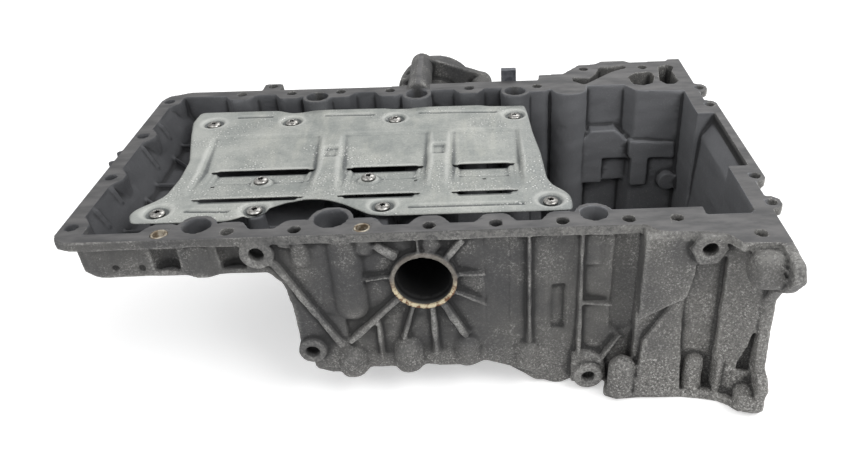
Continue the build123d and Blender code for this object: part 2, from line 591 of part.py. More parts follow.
def tray_outline():
    """Edge of the windage tray, with its ears, its drain cut-out and the notch for a drain boss."""
    return outline([(-171.5, 99), (-172, 79), (-166, 52), (-153.5, 4), (-152.5, -25), (-155, -50),
                    (-160, -59), (-171, -70), (-173, -80), (-167, -88), (-152, -91), (-88, -90),
                    (-62, -75), (-44, -66), (-24, -68), (-14, -76), (2, -89), (144, -90), (148, -82),
                    (146, -70), (135, -59), (131, -40), (129, -15), (124, 50), (124, 90), (24, 92),
                    (18, 95), (-53, 98), (-64, 92), (-80, 93), (-86, 98.5)], 3.5)


def windage_tray():
    """Pressed tray: flat border, turned lip, three sunk bays with two slots each, dimples, collars."""
    edge, middle = tray_screw_points()
    plan = tray_outline()
    top, under = TRAY_TOP_Z, TRAY_TOP_Z - SHEET_T
    tray = drop(plan, top, under)
    tray += drop(plan - offset(plan, amount=-SHEET_T), top, top - TRAY_LIP)
    slot_z = top - UPPER_SLOT_DROP
    far_panel = bay_profile([(BAY_FAR_Y, top), (UPPER_SLOT_Y + 5, slot_z), (UPPER_SLOT_Y, slot_z + 0.5)])
    near_panel = bay_profile([(UPPER_SLOT_Y + 3, slot_z - SHEET_T - SLOT_GAP), (UPPER_SLOT_Y - 4, slot_z - 2),
                              (BAY_NEAR_Y + 2, top + LOWER_SLOT_RISE)])
    lowest = slot_z - 2 * SHEET_T - SLOT_GAP
    side = Plane.YZ * outline([(BAY_FAR_Y, top), (BAY_FAR_Y, under), (UPPER_SLOT_Y + 3, lowest),
                               (BAY_NEAR_Y, under - 1), (BAY_NEAR_Y, top)])
    for x1, x2 in BAYS:
        bay = Pos((x1 + x2) / 2, (BAY_FAR_Y + BAY_NEAR_Y) / 2) * Rectangle(x2 - x1, BAY_FAR_Y - BAY_NEAR_Y)
        tray -= drop(fillet(bay.vertices(), 3), top + 3, under - 3)
        for profile in (far_panel, near_panel):
            tray += extrude(Pos(x1 - SHEET_T / 2, 0, 0) * profile, amount=x2 - x1 + SHEET_T, dir=(1, 0, 0))
        for x in (x1 - SHEET_T, x2):
            tray += extrude(Pos(x, 0, 0) * side, amount=SHEET_T, dir=(1, 0, 0))
    for x, y in edge:
        tray -= post(x, y, DIMPLE_R, top + 1, under - TRAY_LIP)
        tray += pressed_ring(x, y, DIMPLE_R, DIMPLE_R - 2.5, top, top - DIMPLE_DEPTH)
    for x, y in middle:
        tray -= post(x, y, COLLAR_R - 2, top, top - 20)
        tray += pressed_ring(x, y, COLLAR_R, COLLAR_R - 2, COLLAR_Z - 3, COLLAR_Z)
    for x, y in SMALL_HOLES:
        tray -= post(x, y, 1.5, top + 2, top - 20)
    return tray


def pressed_ring(x, y, outer_r, seat_r, outer_z, seat_z):
    """Dimple or collar pressed into sheet: a cone from the outer radius to a flat seat with a screw hole."""
    profile = outline([(outer_r + 1, outer_z), (outer_r, outer_z), (seat_r, seat_z), (SCREW_HOLE_R, seat_z),
                       (SCREW_HOLE_R, seat_z - SHEET_T), (seat_r - 0.5, seat_z - SHEET_T),
                       (outer_r - 0.5, outer_z - SHEET_T), (outer_r + 1, outer_z - SHEET_T)])
    return Pos(x, y, 0) * revolve(Plane.XZ * profile, Axis.Z)


def button_screw(x, y):
    """Button-head screw, its head on the sheet and its shank in a post."""
    seat = screw_seat_z(y)
    crown_r = 0.35 * SCREW_HEAD_R
    side = Polyline((0, 0), (SCREW_HEAD_R, 0), (SCREW_HEAD_R, 1.0))
    shoulder = (0.74 * SCREW_HEAD_R, 0.8 * SCREW_HEAD_H)
    dome = ThreePointArc((SCREW_HEAD_R, 1.0), shoulder, (crown_r, SCREW_HEAD_H))
    top = Polyline((crown_r, SCREW_HEAD_H), (0, SCREW_HEAD_H), (0, 0))
    head = Pos(x, y, seat) * revolve(Plane.XZ * make_face(side + dome + top), Axis.Z)
    return head + post(x, y, SCREW_SHANK_R, seat + 0.5, seat - SCREW_LENGTH)


def dowel_sleeve(x, y):
    """Thin ring pressed into the counterbore of a block bolt hole."""
    ring = post(x, y, SLEEVE_R, 0, -SLEEVE_DEPTH) - post(x, y, SLEEVE_R - SLEEVE_WALL, 1, -SLEEVE_DEPTH - 1)
    return chamfer(ring.faces().sort_by(Axis.Z)[-1].edges(), 0.3)


def drain_plug():
    """Hexagon plug, screwed up into its boss inside the pocket of the sump floor."""
    px, py = PLUG_POS
    head_top = PLUG_SEAT_Z - WASHER_T
    across = PLUG_HEAD_AF / 2
    hexagon = Pos(px, py) * RegularPolygon(across, 6, major_radius=False)
    head = drop(hexagon, head_top, head_top - PLUG_HEAD_H)
    bevel = Cone(across - 1, across + 8, PLUG_HEAD_H + 2, align=UPRIGHT)
    head &= Pos(px, py, head_top - PLUG_HEAD_H - 2) * bevel
    plug = head + post(px, py, PLUG_THREAD_R, head_top + PLUG_LENGTH, head_top - 1)
    plug += post(px, py, WASHER_R - 0.5, head_top, head_top - 2)
    return plug


def drain_washer():
    """Flat sealing washer between the plug and the pocket."""
    px, py = PLUG_POS
    washer = post(px, py, WASHER_R, PLUG_SEAT_Z, PLUG_SEAT_Z - WASHER_T)
    return washer - post(px, py, PLUG_THREAD_R + 0.2, PLUG_SEAT_Z + 1, PLUG_SEAT_Z - WASHER_T - 1)


def harness_clip():
    """Small spring clip that straddles the lug behind the far flange edge."""
    middle_z = CLIP_LUG_TOP + SHEET_T - CLIP_H / 2
    outer = Pos(CLIP_X, CLIP_Y, middle_z) * Box(CLIP_W, CLIP_LUG_T + 2 * SHEET_T, CLIP_H)
    gap = Pos(CLIP_X, CLIP_Y, CLIP_LUG_TOP - CLIP_H / 2) * Box(CLIP_W + 2, CLIP_LUG_T + 2 * FIT, CLIP_H)
    return fillet(outer.edges().filter_by(Axis.Z), 0.6) - gap


def save(shape, name):
    """Write one node."""
    export_step(shape, f"parts/{name}.step")
    print(name, len(shape.solids()), "solids", shape.is_valid)


def main():
    """Build every node and write it."""
    os.makedirs("parts", exist_ok=True)
    edge, middle = tray_screw_points()
    save(pan_casting(), "pan_casting")
    save(windage_tray(), "windage_tray")
    save(Compound(children=[button_screw(x, y) for x, y in edge]), "tray_edge_screws")
    save(Compound(children=[button_screw(x, y) for x, y in middle]), "tray_middle_screws")
    save(Compound(children=[dowel_sleeve(x, y) for x, y in SLEEVES]), "dowel_sleeves")
    save(harness_clip(), "harness_clip")
    save(drain_plug(), "drain_plug")
    save(drain_washer(), "drain_washer")


if __name__ == "__main__":
    main()
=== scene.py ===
"""Dressed scene of the engine oil pan: camera, light, floor and the materials of its pieces, the
casting with a worn cast skin, and the pressed tray and its screws as numpy surfaces.

Blender's lengths are metres in the part's frame. Shapes are worked out in millimetres and
turned to metres by MM where they go into a mesh.
"""

import math

import bmesh
import bpy
import numpy as np
from mathutils import Matrix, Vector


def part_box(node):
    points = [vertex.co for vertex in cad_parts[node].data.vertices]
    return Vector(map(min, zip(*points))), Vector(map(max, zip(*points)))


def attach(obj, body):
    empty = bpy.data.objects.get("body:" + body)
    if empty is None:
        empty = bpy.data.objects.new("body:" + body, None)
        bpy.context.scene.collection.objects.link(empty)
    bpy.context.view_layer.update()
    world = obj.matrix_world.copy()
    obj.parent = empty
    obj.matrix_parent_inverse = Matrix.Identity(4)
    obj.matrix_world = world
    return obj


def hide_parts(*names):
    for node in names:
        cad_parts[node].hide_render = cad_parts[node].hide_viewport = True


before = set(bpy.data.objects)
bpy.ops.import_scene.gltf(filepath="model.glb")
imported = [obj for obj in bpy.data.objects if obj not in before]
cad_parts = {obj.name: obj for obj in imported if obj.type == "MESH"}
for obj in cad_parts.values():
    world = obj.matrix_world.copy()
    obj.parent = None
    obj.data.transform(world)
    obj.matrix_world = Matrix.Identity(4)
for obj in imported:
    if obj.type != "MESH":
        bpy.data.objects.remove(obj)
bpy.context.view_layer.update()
MM = 0.001
FLOOR_Z = -0.1512

# Casting in millimetres: axis and radii of the shaft's bore, its near ring and its far disc, the
# drain plug's pocket, the near wall's bosses, and the plane of the gearbox face
SHAFT_X, SHAFT_Z = 39.5, -41.0
BORE_R, RING_R, DISC_R = 21.5, 24.5, 42.5
PLUG_X, PLUG_Y, POCKET_R = 215, 40, 20
BOSSES = ((-72, -14), (-46.5, -102), (159, -137))
BOSS_R = 12.5
GEARBOX_X = 283.0

# Grooves for the bolt heads in the near wall: place along X and the part of their depth that stays
GROOVES = ((91.0, 0.04), (136.5, 0.04), (182.0, 0.35))
GROOVE_Y, GROOVE_R, GROOVE_TOP_Z = -120.25, 9.9, -8.5
NEAR_FACE_Y, FACE_LEAN = -120.0, 0.0175
RECESS_GROOVE_X, RECESS_KEPT = 136.5, 0.4

# Mesh of the casting: size of its even cells, and the triangles that it keeps
CELL_MM = 1.15
CASTING_TRIANGLES = 192000

# Swell of the cast skin: length and height of each wave in millimetres
SWELL_WAVES = ((46, 0.16), (37, 0.16), (29, 0.13), (23, 0.12), (17, 0.10), (13, 0.08), (9.5, 0.06),
               (7.5, 0.05), (5.6, 0.045))

# Photograph's camera: focal length and principal point in pixels, place, and its angles in degrees
FOCAL_PX = 786.9
CENTRE_PX = (500.2, 232.7)
IMAGE = (862, 468)
SENSOR_MM = 36.0
CAMERA_AT = (0.0825, -0.57073, 0.28612)
PITCH, YAW, ROLL = 33.064, 1.475, 1.100


# Shader graph

class Value:
    """A number socket that adds Math nodes when it is used in arithmetic."""

    def __init__(self, graph, socket):
        self.graph = graph
        self.socket = socket

    def _math(self, operation, *inputs):
        return self.graph.node("ShaderNodeMath", {"operation": operation}, dict(enumerate(inputs)))

    def __add__(self, other):
        return self._math("ADD", self, other)

    def __radd__(self, other):
        return self._math("ADD", other, self)

    def __sub__(self, other):
        return self._math("SUBTRACT", self, other)

    def __rsub__(self, other):
        return self._math("SUBTRACT", other, self)

    def __mul__(self, other):
        return self._math("MULTIPLY", self, other)

    def __rmul__(self, other):
        return self._math("MULTIPLY", other, self)

    def high(self, other):
        """Larger of the two."""
        return self._math("MAXIMUM", self, other)

    def low(self, other):
        """Smaller of the two."""
        return self._math("MINIMUM", self, other)

    def clamp(self):
        """Kept between 0 and 1."""
        settings = {"operation": "MULTIPLY", "use_clamp": True}
        return self.graph.node("ShaderNodeMath", settings, {0: self, 1: 1.0})

    def step(self, start, end):
        """0 before start, 1 after end, smooth between them."""
        inputs = {"Value": self, "From Min": start, "From Max": end}
        return self.graph.node("ShaderNodeMapRange", {"interpolation_type": "SMOOTHSTEP"}, inputs)


class Graph:
    """Node tree of one material, with one method that makes any node."""

    def __init__(self, name):
        self.material = bpy.data.materials.new(name)
        self.material.use_nodes = True
        self.tree = self.material.node_tree
        self.tree.nodes.clear()
        self.output = self.tree.nodes.new("ShaderNodeOutputMaterial")

    def node(self, kind, settings=None, inputs=None, out=0):
        """Node of that kind: settings first, then the values or links of its sockets."""
        made = self.tree.nodes.new(kind)
        for key, value in (settings or {}).items():
            setattr(made, key, value)
        for key, value in (inputs or {}).items():
            if isinstance(value, Value):
                self.tree.links.new(value.socket, made.inputs[key])
            else:
                made.inputs[key].default_value = value
        return Value(self, made.outputs[out])

    def place(self):
        """Object coordinates."""
        return self.node("ShaderNodeTexCoord", out="Object")

    def noise(self, where, scale, detail=4.0, rough=0.55, stretch=(1, 1, 1)):
        """Cloudy noise between 0 and 1."""
        if stretch != (1, 1, 1):
            where = self.node("ShaderNodeMapping", {}, {"Vector": where, "Scale": stretch})
        return self.node("ShaderNodeTexNoise", {}, {"Vector": where, "Scale": scale, "Detail": detail,
                                                    "Roughness": rough})

    def cells(self, where, scale):
        """Distance to the nearest of scattered points, in cells."""
        return self.node("ShaderNodeTexVoronoi", {}, {"Vector": where, "Scale": scale}, out="Distance")

    def axis(self, where, name):
        """One coordinate of a vector."""
        return self.node("ShaderNodeSeparateXYZ", {}, {0: where}, out=name)

    def own(self, name):
        """Number that the piece's mesh carries at each point."""
        return self.node("ShaderNodeAttribute", {"attribute_name": name}, out="Fac")

    def mix(self, factor, first, second):
        """Colour between the first at 0 and the second at 1."""
        first = first if isinstance(first, Value) else (*first, 1.0)
        second = second if isinstance(second, Value) else (*second, 1.0)
        inputs = {"Factor": factor, 6: first, 7: second}
        return self.node("ShaderNodeMix", {"data_type": "RGBA"}, inputs, out=2)

    def finish(self, constants, links):
        """Principled surface with constants on its sockets and varying links."""
        shader = self.node("ShaderNodeBsdfPrincipled", {}, {**constants, **links})
        self.tree.links.new(shader.socket, self.output.inputs["Surface"])
        return self.material


def srgb(*levels):
    """Linear colour of display levels 0 to 255."""
    scaled = np.array(levels) / 255
    linear = np.where(scaled <= 0.04045, scaled / 12.92, ((scaled + 0.055) / 1.055) ** 2.4)
    return tuple(float(v) for v in linear)


# Materials

def casting_material():
    """Oil-darkened cast aluminium: grey machined faces, worn edges with a painted highlight, light and
    dark grain, dirt and painted shade in corners.

    The outer skin is grained, the inner one is smoother. Both are darker where relief says corner, as
    dirt and painted shade, and lighter where it says edge, as wear and a painted highlight. The right
    end of the outer skin and the gearbox end face carry a painted highlight; the inner skin's left end
    and the inside of the bore carry painted shade. The lip of the flange and the ring round the bore
    are crusted.
    """
    graph = Graph("sand_cast_aluminium")
    where = graph.place()
    height = graph.axis(where, "Z")
    along = graph.axis(where, "X")
    across = graph.axis(where, "Y")
    relief = graph.own("relief")
    clouds = graph.noise(where, 14.0, 5.0, 0.6)
    patches = graph.noise(where, 55.0, 4.0, 0.6)
    grit = graph.noise(where, 600.0, 3.0, 0.75)
    speckle = graph.noise(where, 820.0, 2.0, 0.6)
    normal = graph.node("ShaderNodeNewGeometry", out="Normal")
    facing_up = graph.axis(normal, "Z")
    machined = facing_up.step(0.96, 0.995) * height.step(-0.0009, -0.0004)
    facing_near = graph.axis(normal, "Y").step(0.3, -0.2)
    outer = across.step(-0.1165, -0.1195).high(height.step(-0.140, -0.149))
    outer = outer.high(across.step(0.1165, 0.1185)).high(along.step(0.283, 0.286))
    outer = outer.high(across.step(-0.106, -0.110) * facing_near)

    skin = graph.mix(clouds.step(0.30, 0.72), srgb(74, 74, 75), srgb(104, 103, 101))
    inner_skin = graph.mix(clouds.step(0.30, 0.72), srgb(88, 89, 92), srgb(112, 113, 116))
    inner_skin = graph.mix(along.step(0.120, 0.160), inner_skin, srgb(124, 125, 128))
    skin = graph.mix(outer, inner_skin, skin)
    # Painted highlight: the outer skin lighter towards the right end, more low down; lighter crust patches
    # and the foot join it
    painted_lit_side = along.step(0.15, 0.26) * (height.step(-0.02, -0.08) * 0.6 + 0.4)
    foot = height.step(-0.096, -0.124) * along.step(-0.06, -0.03)
    lit_side_and_crust = (painted_lit_side + foot * 0.5 + patches.step(0.45, 0.75) * 0.30).clamp() * outer
    skin = graph.mix(lit_side_and_crust * 0.45, skin, srgb(150, 148, 144))
    textured = (patches.step(0.46, 0.64) * 0.35 + foot * 0.45 + painted_lit_side * 0.55).clamp()
    pepper = grit.step(0.49, 0.38) * (0.10 + textured * 0.50)
    skin = graph.mix(pepper * outer, skin, srgb(44, 44, 45))
    salt = grit.step(0.52, 0.60) * speckle.step(0.42, 0.56) * (0.06 + textured * 0.85)
    skin = graph.mix(salt * (outer * 0.8 + 0.2), skin, srgb(200, 199, 196))
    # Wear and a painted highlight: edges that stick out lighter, in patches
    wear_and_edge_highlight = relief.step(0.15, 0.90) * (patches.step(0.36, 0.62) * 0.5 + 0.2)
    wear_and_edge_highlight = wear_and_edge_highlight * (grit.step(0.40, 0.60) * 0.7 + 0.3)
    skin = graph.mix(wear_and_edge_highlight * outer * 0.9, skin, srgb(172, 171, 168))
    # Dirt and painted shade: corners and hollows darker
    dirt_and_shade = relief.step(-0.08, -0.60)
    skin = graph.mix(dirt_and_shade * 0.74, skin, srgb(24, 24, 25))
    # Painted highlight: the gearbox end face, which faces the light, lighter
    lit_end_face = along.step(0.2825, 0.2838) * graph.axis(normal, "X").step(0.5, 0.9)
    skin = graph.mix(lit_end_face * 0.45, skin, srgb(196, 194, 188))
    # Painted shade: the inner skin darker towards the left end, deep inside
    skin = graph.mix(along.step(-0.150, -0.176) * (1.0 - outer) * 0.30, skin, srgb(52, 52, 54))

    milled = graph.noise(where, 30.0, 6.0, 0.6, (1, 3, 1)).step(0.3, 0.7)
    top = graph.mix(milled, srgb(88, 88, 89), srgb(116, 115, 115))
    stains = graph.noise(where, 18.0, 6.0, 0.7).step(0.60, 0.72)
    top = graph.mix(stains * 0.35, top, srgb(70, 70, 72))
    base = graph.mix(machined, skin, top)
    lip = height.step(-0.0002, -0.0012) * height.step(-0.0080, -0.0062) * across.step(-0.1250, -0.1262)
    crust = graph.noise(where, 260.0, 4.0, 0.7)
    lip = lip * crust.step(0.36, 0.60) * along.step(-0.12, -0.02)
    base = graph.mix(lip * 0.28, base, srgb(168, 167, 163))

    from_bore_x = along - SHAFT_X * MM
    from_bore_z = height - SHAFT_Z * MM
    radius = graph.node("ShaderNodeMath", {"operation": "SQRT"},
                    {0: from_bore_x * from_bore_x + from_bore_z * from_bore_z})
    rim = radius.step(0.0196, 0.0204) * (1.0 - radius.step(0.0232, 0.0242)) * across.step(-0.1256, -0.1266)
    ragged = crust + radius * 40.0 - 0.88
    rim_colour = graph.mix(ragged.step(0.40, 0.60), srgb(214, 202, 172), srgb(112, 74, 50))
    low_side = height.step(-0.034, -0.050)
    rim_colour = graph.mix(low_side * 0.85 + 0.10, srgb(120, 114, 106), rim_colour)
    base = graph.mix(rim * (0.5 + low_side * 0.5), base, rim_colour)
    # Painted shade: the inside of the bore near black
    inside = (1.0 - radius.step(0.0204, 0.0208)) * across.step(-0.1275, -0.1200)
    base = graph.mix(inside * 0.9, base, srgb(16, 16, 17))

    rough = 0.58 + clouds * 0.20 - machined * 0.06
    bump = graph.node("ShaderNodeBump", {}, {"Strength": 0.45, "Distance": 0.0007,
                                         "Height": (grit * 0.7 + patches * 0.5) * (1.0 - machined * 0.9)})
    return graph.finish({"Metallic": 0.30, "Specular IOR Level": 0.35},
                    {"Base Color": base, "Roughness": rough, "Normal": bump})


def plain_metal(name, dark, light, roughness, metallic):
    """Metal with a mottled colour and a light bump."""
    graph = Graph(name)
    where = graph.place()
    mottle = graph.noise(where, 220.0, 4.0, 0.6)
    base = graph.mix(mottle.step(0.35, 0.65), dark, light)
    rough = mottle * 0.2 + (roughness - 0.1)
    bump = graph.node("ShaderNodeBump", {}, {"Strength": 0.2, "Distance": 0.0002, "Height": mottle})
    return graph.finish({"Metallic": metallic}, {"Base Color": base, "Roughness": rough, "Normal": bump})


def screw_material():
    """Bright plated screw: painted shade on its recess, side and shank, a mottled dome."""
    graph = Graph("screw_plating")
    where = graph.place()
    relief = graph.own("relief")
    mottle = graph.noise(where, 480.0, 4.0, 0.7)
    base = graph.mix(mottle.step(0.35, 0.65), srgb(128, 126, 122), srgb(206, 204, 200))
    # Painted shade: the head's side, the shank and the recess darker
    base = graph.mix(relief.step(-0.15, -0.38) * 0.75, base, srgb(58, 58, 60))
    # Painted shade: the recess near black
    base = graph.mix(relief.step(-0.45, -0.85), base, srgb(14, 14, 15))
    rough = mottle * 0.25 + 0.18
    bump = graph.node("ShaderNodeBump", {}, {"Strength": 0.25, "Distance": 0.0003, "Height": mottle})
    return graph.finish({"Metallic": 0.9}, {"Base Color": base, "Roughness": rough, "Normal": bump})


def tray_material():
    """Zinc-coated sheet: pale bloom, milky streaks, dirt and painted shade in pressed corners, a painted
    highlight on pressed edges, and beads of oil and water with painted glints.
    """
    graph = Graph("zinc_sheet")
    where = graph.place()
    along = graph.axis(where, "X")
    across = graph.axis(where, "Y")
    relief = graph.own("relief")
    clouds = graph.noise(where, 30.0, 6.0, 0.66)
    streaks = graph.noise(where, 40.0, 4.0, 0.6, (2.2, 0.5, 1))
    fine = graph.noise(where, 520.0, 3.0, 0.7)
    film = graph.mix(clouds.step(0.34, 0.68), srgb(148, 152, 149), srgb(178, 180, 175))
    film = graph.mix(streaks.step(0.50, 0.72) * 0.45, film, srgb(186, 187, 179))
    film = graph.mix(along.step(0.090, 0.135) * 0.45, film, srgb(134, 138, 139))
    film = graph.mix(fine.step(0.55, 0.70) * 0.30, film, srgb(206, 207, 203))
    film = graph.mix(fine.step(0.46, 0.34) * 0.26, film, srgb(112, 116, 116))
    film = graph.mix(along.step(-0.100, -0.160) * 0.35, film, srgb(186, 189, 185))
    # Painted highlight: pressed edges that stick out lighter
    film = graph.mix(relief.step(0.06, 0.55) * 0.36, film, srgb(222, 223, 218))
    # Dirt and painted shade: pressed corners and creases darker
    film = graph.mix(relief.step(-0.05, -0.75) * 0.80, film, srgb(74, 78, 80))
    drops = graph.cells(where, 310.0)
    wet = graph.noise(where, 24.0, 4.0, 0.6).step(0.50, 0.62)
    wet = wet.high((across.step(-0.010, -0.020) - across.step(-0.058, -0.064)) * clouds.step(0.36, 0.52))
    glinting_beads = (1.0 - drops.step(0.17, 0.30)) * wet
    rings = drops.step(0.28, 0.36) * (1.0 - drops.step(0.40, 0.52)) * wet
    spots = (1.0 - graph.cells(where, 640.0).step(0.14, 0.28)) * clouds.step(0.38, 0.60)
    base = graph.mix(rings * 0.35, film, srgb(104, 108, 108))
    # Painted glints: the beads and the small spots white
    base = graph.mix((glinting_beads + spots * 0.5).clamp() * 0.75, base, srgb(232, 233, 229))
    rough = 0.50 + clouds * 0.15 - glinting_beads * 0.30
    bump = graph.node("ShaderNodeBump", {}, {"Strength": 0.5, "Distance": 0.0008,
                                         "Height": glinting_beads + spots * 0.3 + clouds * 0.2 + fine * 0.15})
    return graph.finish({"Metallic": 0.20, "Specular IOR Level": 0.4},
                    {"Base Color": base, "Roughness": rough, "Normal": bump})


def floor_material():
    """White sweep: shown white to the camera and in reflections, and darker where it is shaded."""
    graph = Graph("white_sweep")
    rays = graph.node("ShaderNodeLightPath", out="Is Camera Ray")
    glossy = graph.node("ShaderNodeLightPath", out="Is Glossy Ray")
    clear = graph.node("ShaderNodeLightPath", out="Is Transmission Ray")
    diffuse = graph.node("ShaderNodeBsdfDiffuse", {}, {"Color": (0.9, 0.9, 0.9, 1.0)})
    glow = graph.node("ShaderNodeEmission", {}, {"Color": (1.0, 1.0, 1.0, 1.0),
                                             "Strength": (rays + glossy + clear).low(1.0) * 0.42})
    both = graph.node("ShaderNodeAddShader", {}, {0: diffuse, 1: glow})
    graph.tree.links.new(both.socket, graph.output.inputs["Surface"])
    return graph.material


# Surfaces

def ramp(value, start, end):
    """0 at start, 1 at end, with a straight run between them; works on whole arrays."""
    return np.clip((value - start) / (end - start), 0.0, 1.0)


def ease(value, start, end):
    """0 at start, 1 at end, with a smooth run between them."""
    part = ramp(value, start, end)
    return part * part * (3.0 - 2.0 * part)


def away(x, y, x1, y1, x2, y2):
    """Distance of each point from the line between two points."""
    run_x, run_y = x2 - x1, y2 - y1
    along = ramp((x - x1) * run_x + (y - y1) * run_y, 0, run_x ** 2 + run_y ** 2)
    return np.hypot(x - x1 - along * run_x, y - y1 - along * run_y)


def grid_faces(rows, columns, wrap=False):
    """Corner numbers of a grid's quads, row by row; wrap joins the last column to the first."""
    number = np.arange(rows * columns).reshape(rows, columns)
    right = np.roll(number, -1, axis=1) if wrap else number[:, 1:]
    left = number if wrap else number[:, :-1]
    return np.stack([left[:-1], right[:-1], right[1:], left[1:]], axis=-1).reshape(-1, 4)


def add_surface(name, points, faces, material, relief):
    """Object of smooth quads from points in millimetres, corner numbers and each point's relief."""
    used, numbers = np.unique(faces, return_inverse=True)
    points, relief = points[used] * MM, relief[used]
    faces = numbers.reshape(faces.shape)
    mesh = bpy.data.meshes.new(name)
    mesh.vertices.add(len(points))
    mesh.vertices.foreach_set("co", points.ravel())
    mesh.loops.add(faces.size)
    mesh.loops.foreach_set("vertex_index", faces.ravel())
    mesh.polygons.add(len(faces))
    mesh.polygons.foreach_set("loop_start", np.arange(0, faces.size, 4))
    mesh.polygons.foreach_set("loop_total", np.full(len(faces), 4))
    mesh.update(calc_edges=True)
    mesh.attributes.new("relief", "FLOAT", "POINT").data.foreach_set("value", relief)
    mesh.validate()
    mesh.polygons.foreach_set("use_smooth", np.ones(len(faces), dtype=bool))
    mesh.materials.append(material)
    piece = bpy.data.objects.new(name, mesh)
    bpy.context.collection.objects.link(piece)
    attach(piece, "root")
    return piece


def smoothed(values, span):
    """Closed run of numbers, each the mean of its neighbours within the span, taken twice."""
    for _ in range(2):
        values = sum(np.roll(values, k) for k in range(-span, span + 1)) / (2 * span + 1)
    return values


def neighbour_mean(points, edges, count):
    """Mean of the points that each point shares an edge with."""
    first, second = edges.T
    return np.stack([np.bincount(first, points[second, k], len(points)) +
                     np.bincount(second, points[first, k], len(points)) for k in range(3)], axis=1) / count


def worn_round(points, edges, weight, rounds, back=0.50):
    """Points after rounds of a step towards the neighbours' mean and a step back.

    With nearly equal steps it takes sharp edges off and leaves broad forms as large as they were.
    A shorter step back also melts small forms into their surroundings.
    """
    weighted = np.broadcast_to(weight, (len(points), 1))[:, 0] > 0
    edges = edges[weighted[edges[:, 0]] | weighted[edges[:, 1]]]
    count = np.maximum(np.bincount(edges.ravel(), minlength=len(points)), 1)[:, None]
    for _ in range(rounds):
        for step in (0.55, -back):
            points = points + weight * step * (neighbour_mean(points, edges, count) - points)
    return points


def swell(points):
    """Uneven height of a sand-cast skin in metres: a sum of sine waves that run in fixed directions."""
    total = np.zeros(len(points))
    for index, (length, height) in enumerate(SWELL_WAVES):
        turn, tilt = 2.4 * index, 0.9 * index + 0.4
        way = np.array([math.cos(turn) * math.cos(tilt), math.sin(turn) * math.cos(tilt), math.sin(tilt)])
        total += height * MM * np.sin(points @ way * 2 * math.pi / (length * MM) + index)
    return total


def sand_cast_part(points):
    """1 on the skin that stays as it was cast, 0 on faces that are machined, for points in metres."""
    x, y, z = (points / MM).T
    bore = np.hypot(x - SHAFT_X, z - SHAFT_Z)
    machined = ease(z, -2.6, -1.0)
    machined = np.maximum(machined, ease(x, GEARBOX_X - 1.4, GEARBOX_X))
    machined = np.maximum(machined, (bore < RING_R) * ease(-y, 121.5, 124))
    machined = np.maximum(machined, (bore < BORE_R) * 1.0)
    machined = np.maximum(machined, (bore < DISC_R) * ease(y, 191, 195))
    machined = np.maximum(machined, (np.hypot(x - PLUG_X, y - PLUG_Y) < POCKET_R) * ease(-z, 124, 128))
    for boss_x, boss_z in BOSSES:
        boss = np.hypot(x - boss_x, z - boss_z) < BOSS_R
        machined = np.maximum(machined, boss * ease(-y, 124, 126.5))
    return 1.0 - machined


def within(value, low, high, slope):
    """1 between low and high, 0 outside, with smooth slopes inside the two ends."""
    return ease(value, low, low + slope) * (1 - ease(value, high - slope, high))


def filled_channels(points):
    """Grooves for the bolt heads in the near wall, filled out to its face or to a part of their depth.

    A point of a groove keeps a part of its distance behind the leaning face. The left groove goes
    wholly, the right one stays at a third, and of the middle one a short recess stays.
    """
    x, y, z = (points / MM).T
    face_y = NEAR_FACE_Y - FACE_LEAN * z
    for bolt_x, kept in GROOVES:
        groove = (np.hypot(x - bolt_x, y - GROOVE_Y) < GROOVE_R) & (y > face_y) & (z < GROOVE_TOP_Z)
        recess = (bolt_x == RECESS_GROOVE_X) * within(x, 128, 142, 3) * within(z, -97, -52, 3)
        y = np.where(groove, face_y + (kept + RECESS_KEPT * recess) * (y - face_y), y)
    return np.stack([x, y, z], axis=1) * MM


def smoothed_skin(points, edges, cast):
    """Casting's points with worn edges: lightly all over, more on the cast skin, most on the near wall.

    The near wall is rounded further towards the gearbox end. The feet of its columns are melted
    into the wall and the sole.
    """
    points = worn_round(points, edges, 0.30 + 0.70 * cast, 3)
    points = worn_round(points, edges, cast, 9)
    x, y, z = (points / MM).T
    softer = cast[:, 0] * ease(-y, 118, 122) * ease(-z, 8, 14)
    softer *= 0.25 + 0.75 * ease(x, 170, 190) * (1 - ease(x, 262, 274))
    points = worn_round(points, edges, np.where(softer < 0.02, 0, softer)[:, None], 14)
    shoulders = cast[:, 0] * ease(-y, 117, 120) * ease(-z, 90, 100)
    shoulders *= ease(x, -60, -40) * (1 - ease(x, 125, 150))
    return worn_round(points, edges, np.where(shoulders < 0.02, 0, shoulders)[:, None], 14, 0.20)


def relief_of(points, edges, normals):
    """Height in millimetres of each point above its much smoothed surroundings, along its normal."""
    count = np.bincount(edges.ravel(), minlength=len(points))[:, None]
    broad = points
    for _ in range(14):
        broad = broad + 0.8 * (neighbour_mean(broad, edges, count) - broad)
    return np.sum((points - broad) * normals, axis=1) / MM


def finished_mesh(piece):
    """New mesh of a piece with its modifiers applied."""
    return bpy.data.meshes.new_from_object(piece.evaluated_get(bpy.context.evaluated_depsgraph_get()))


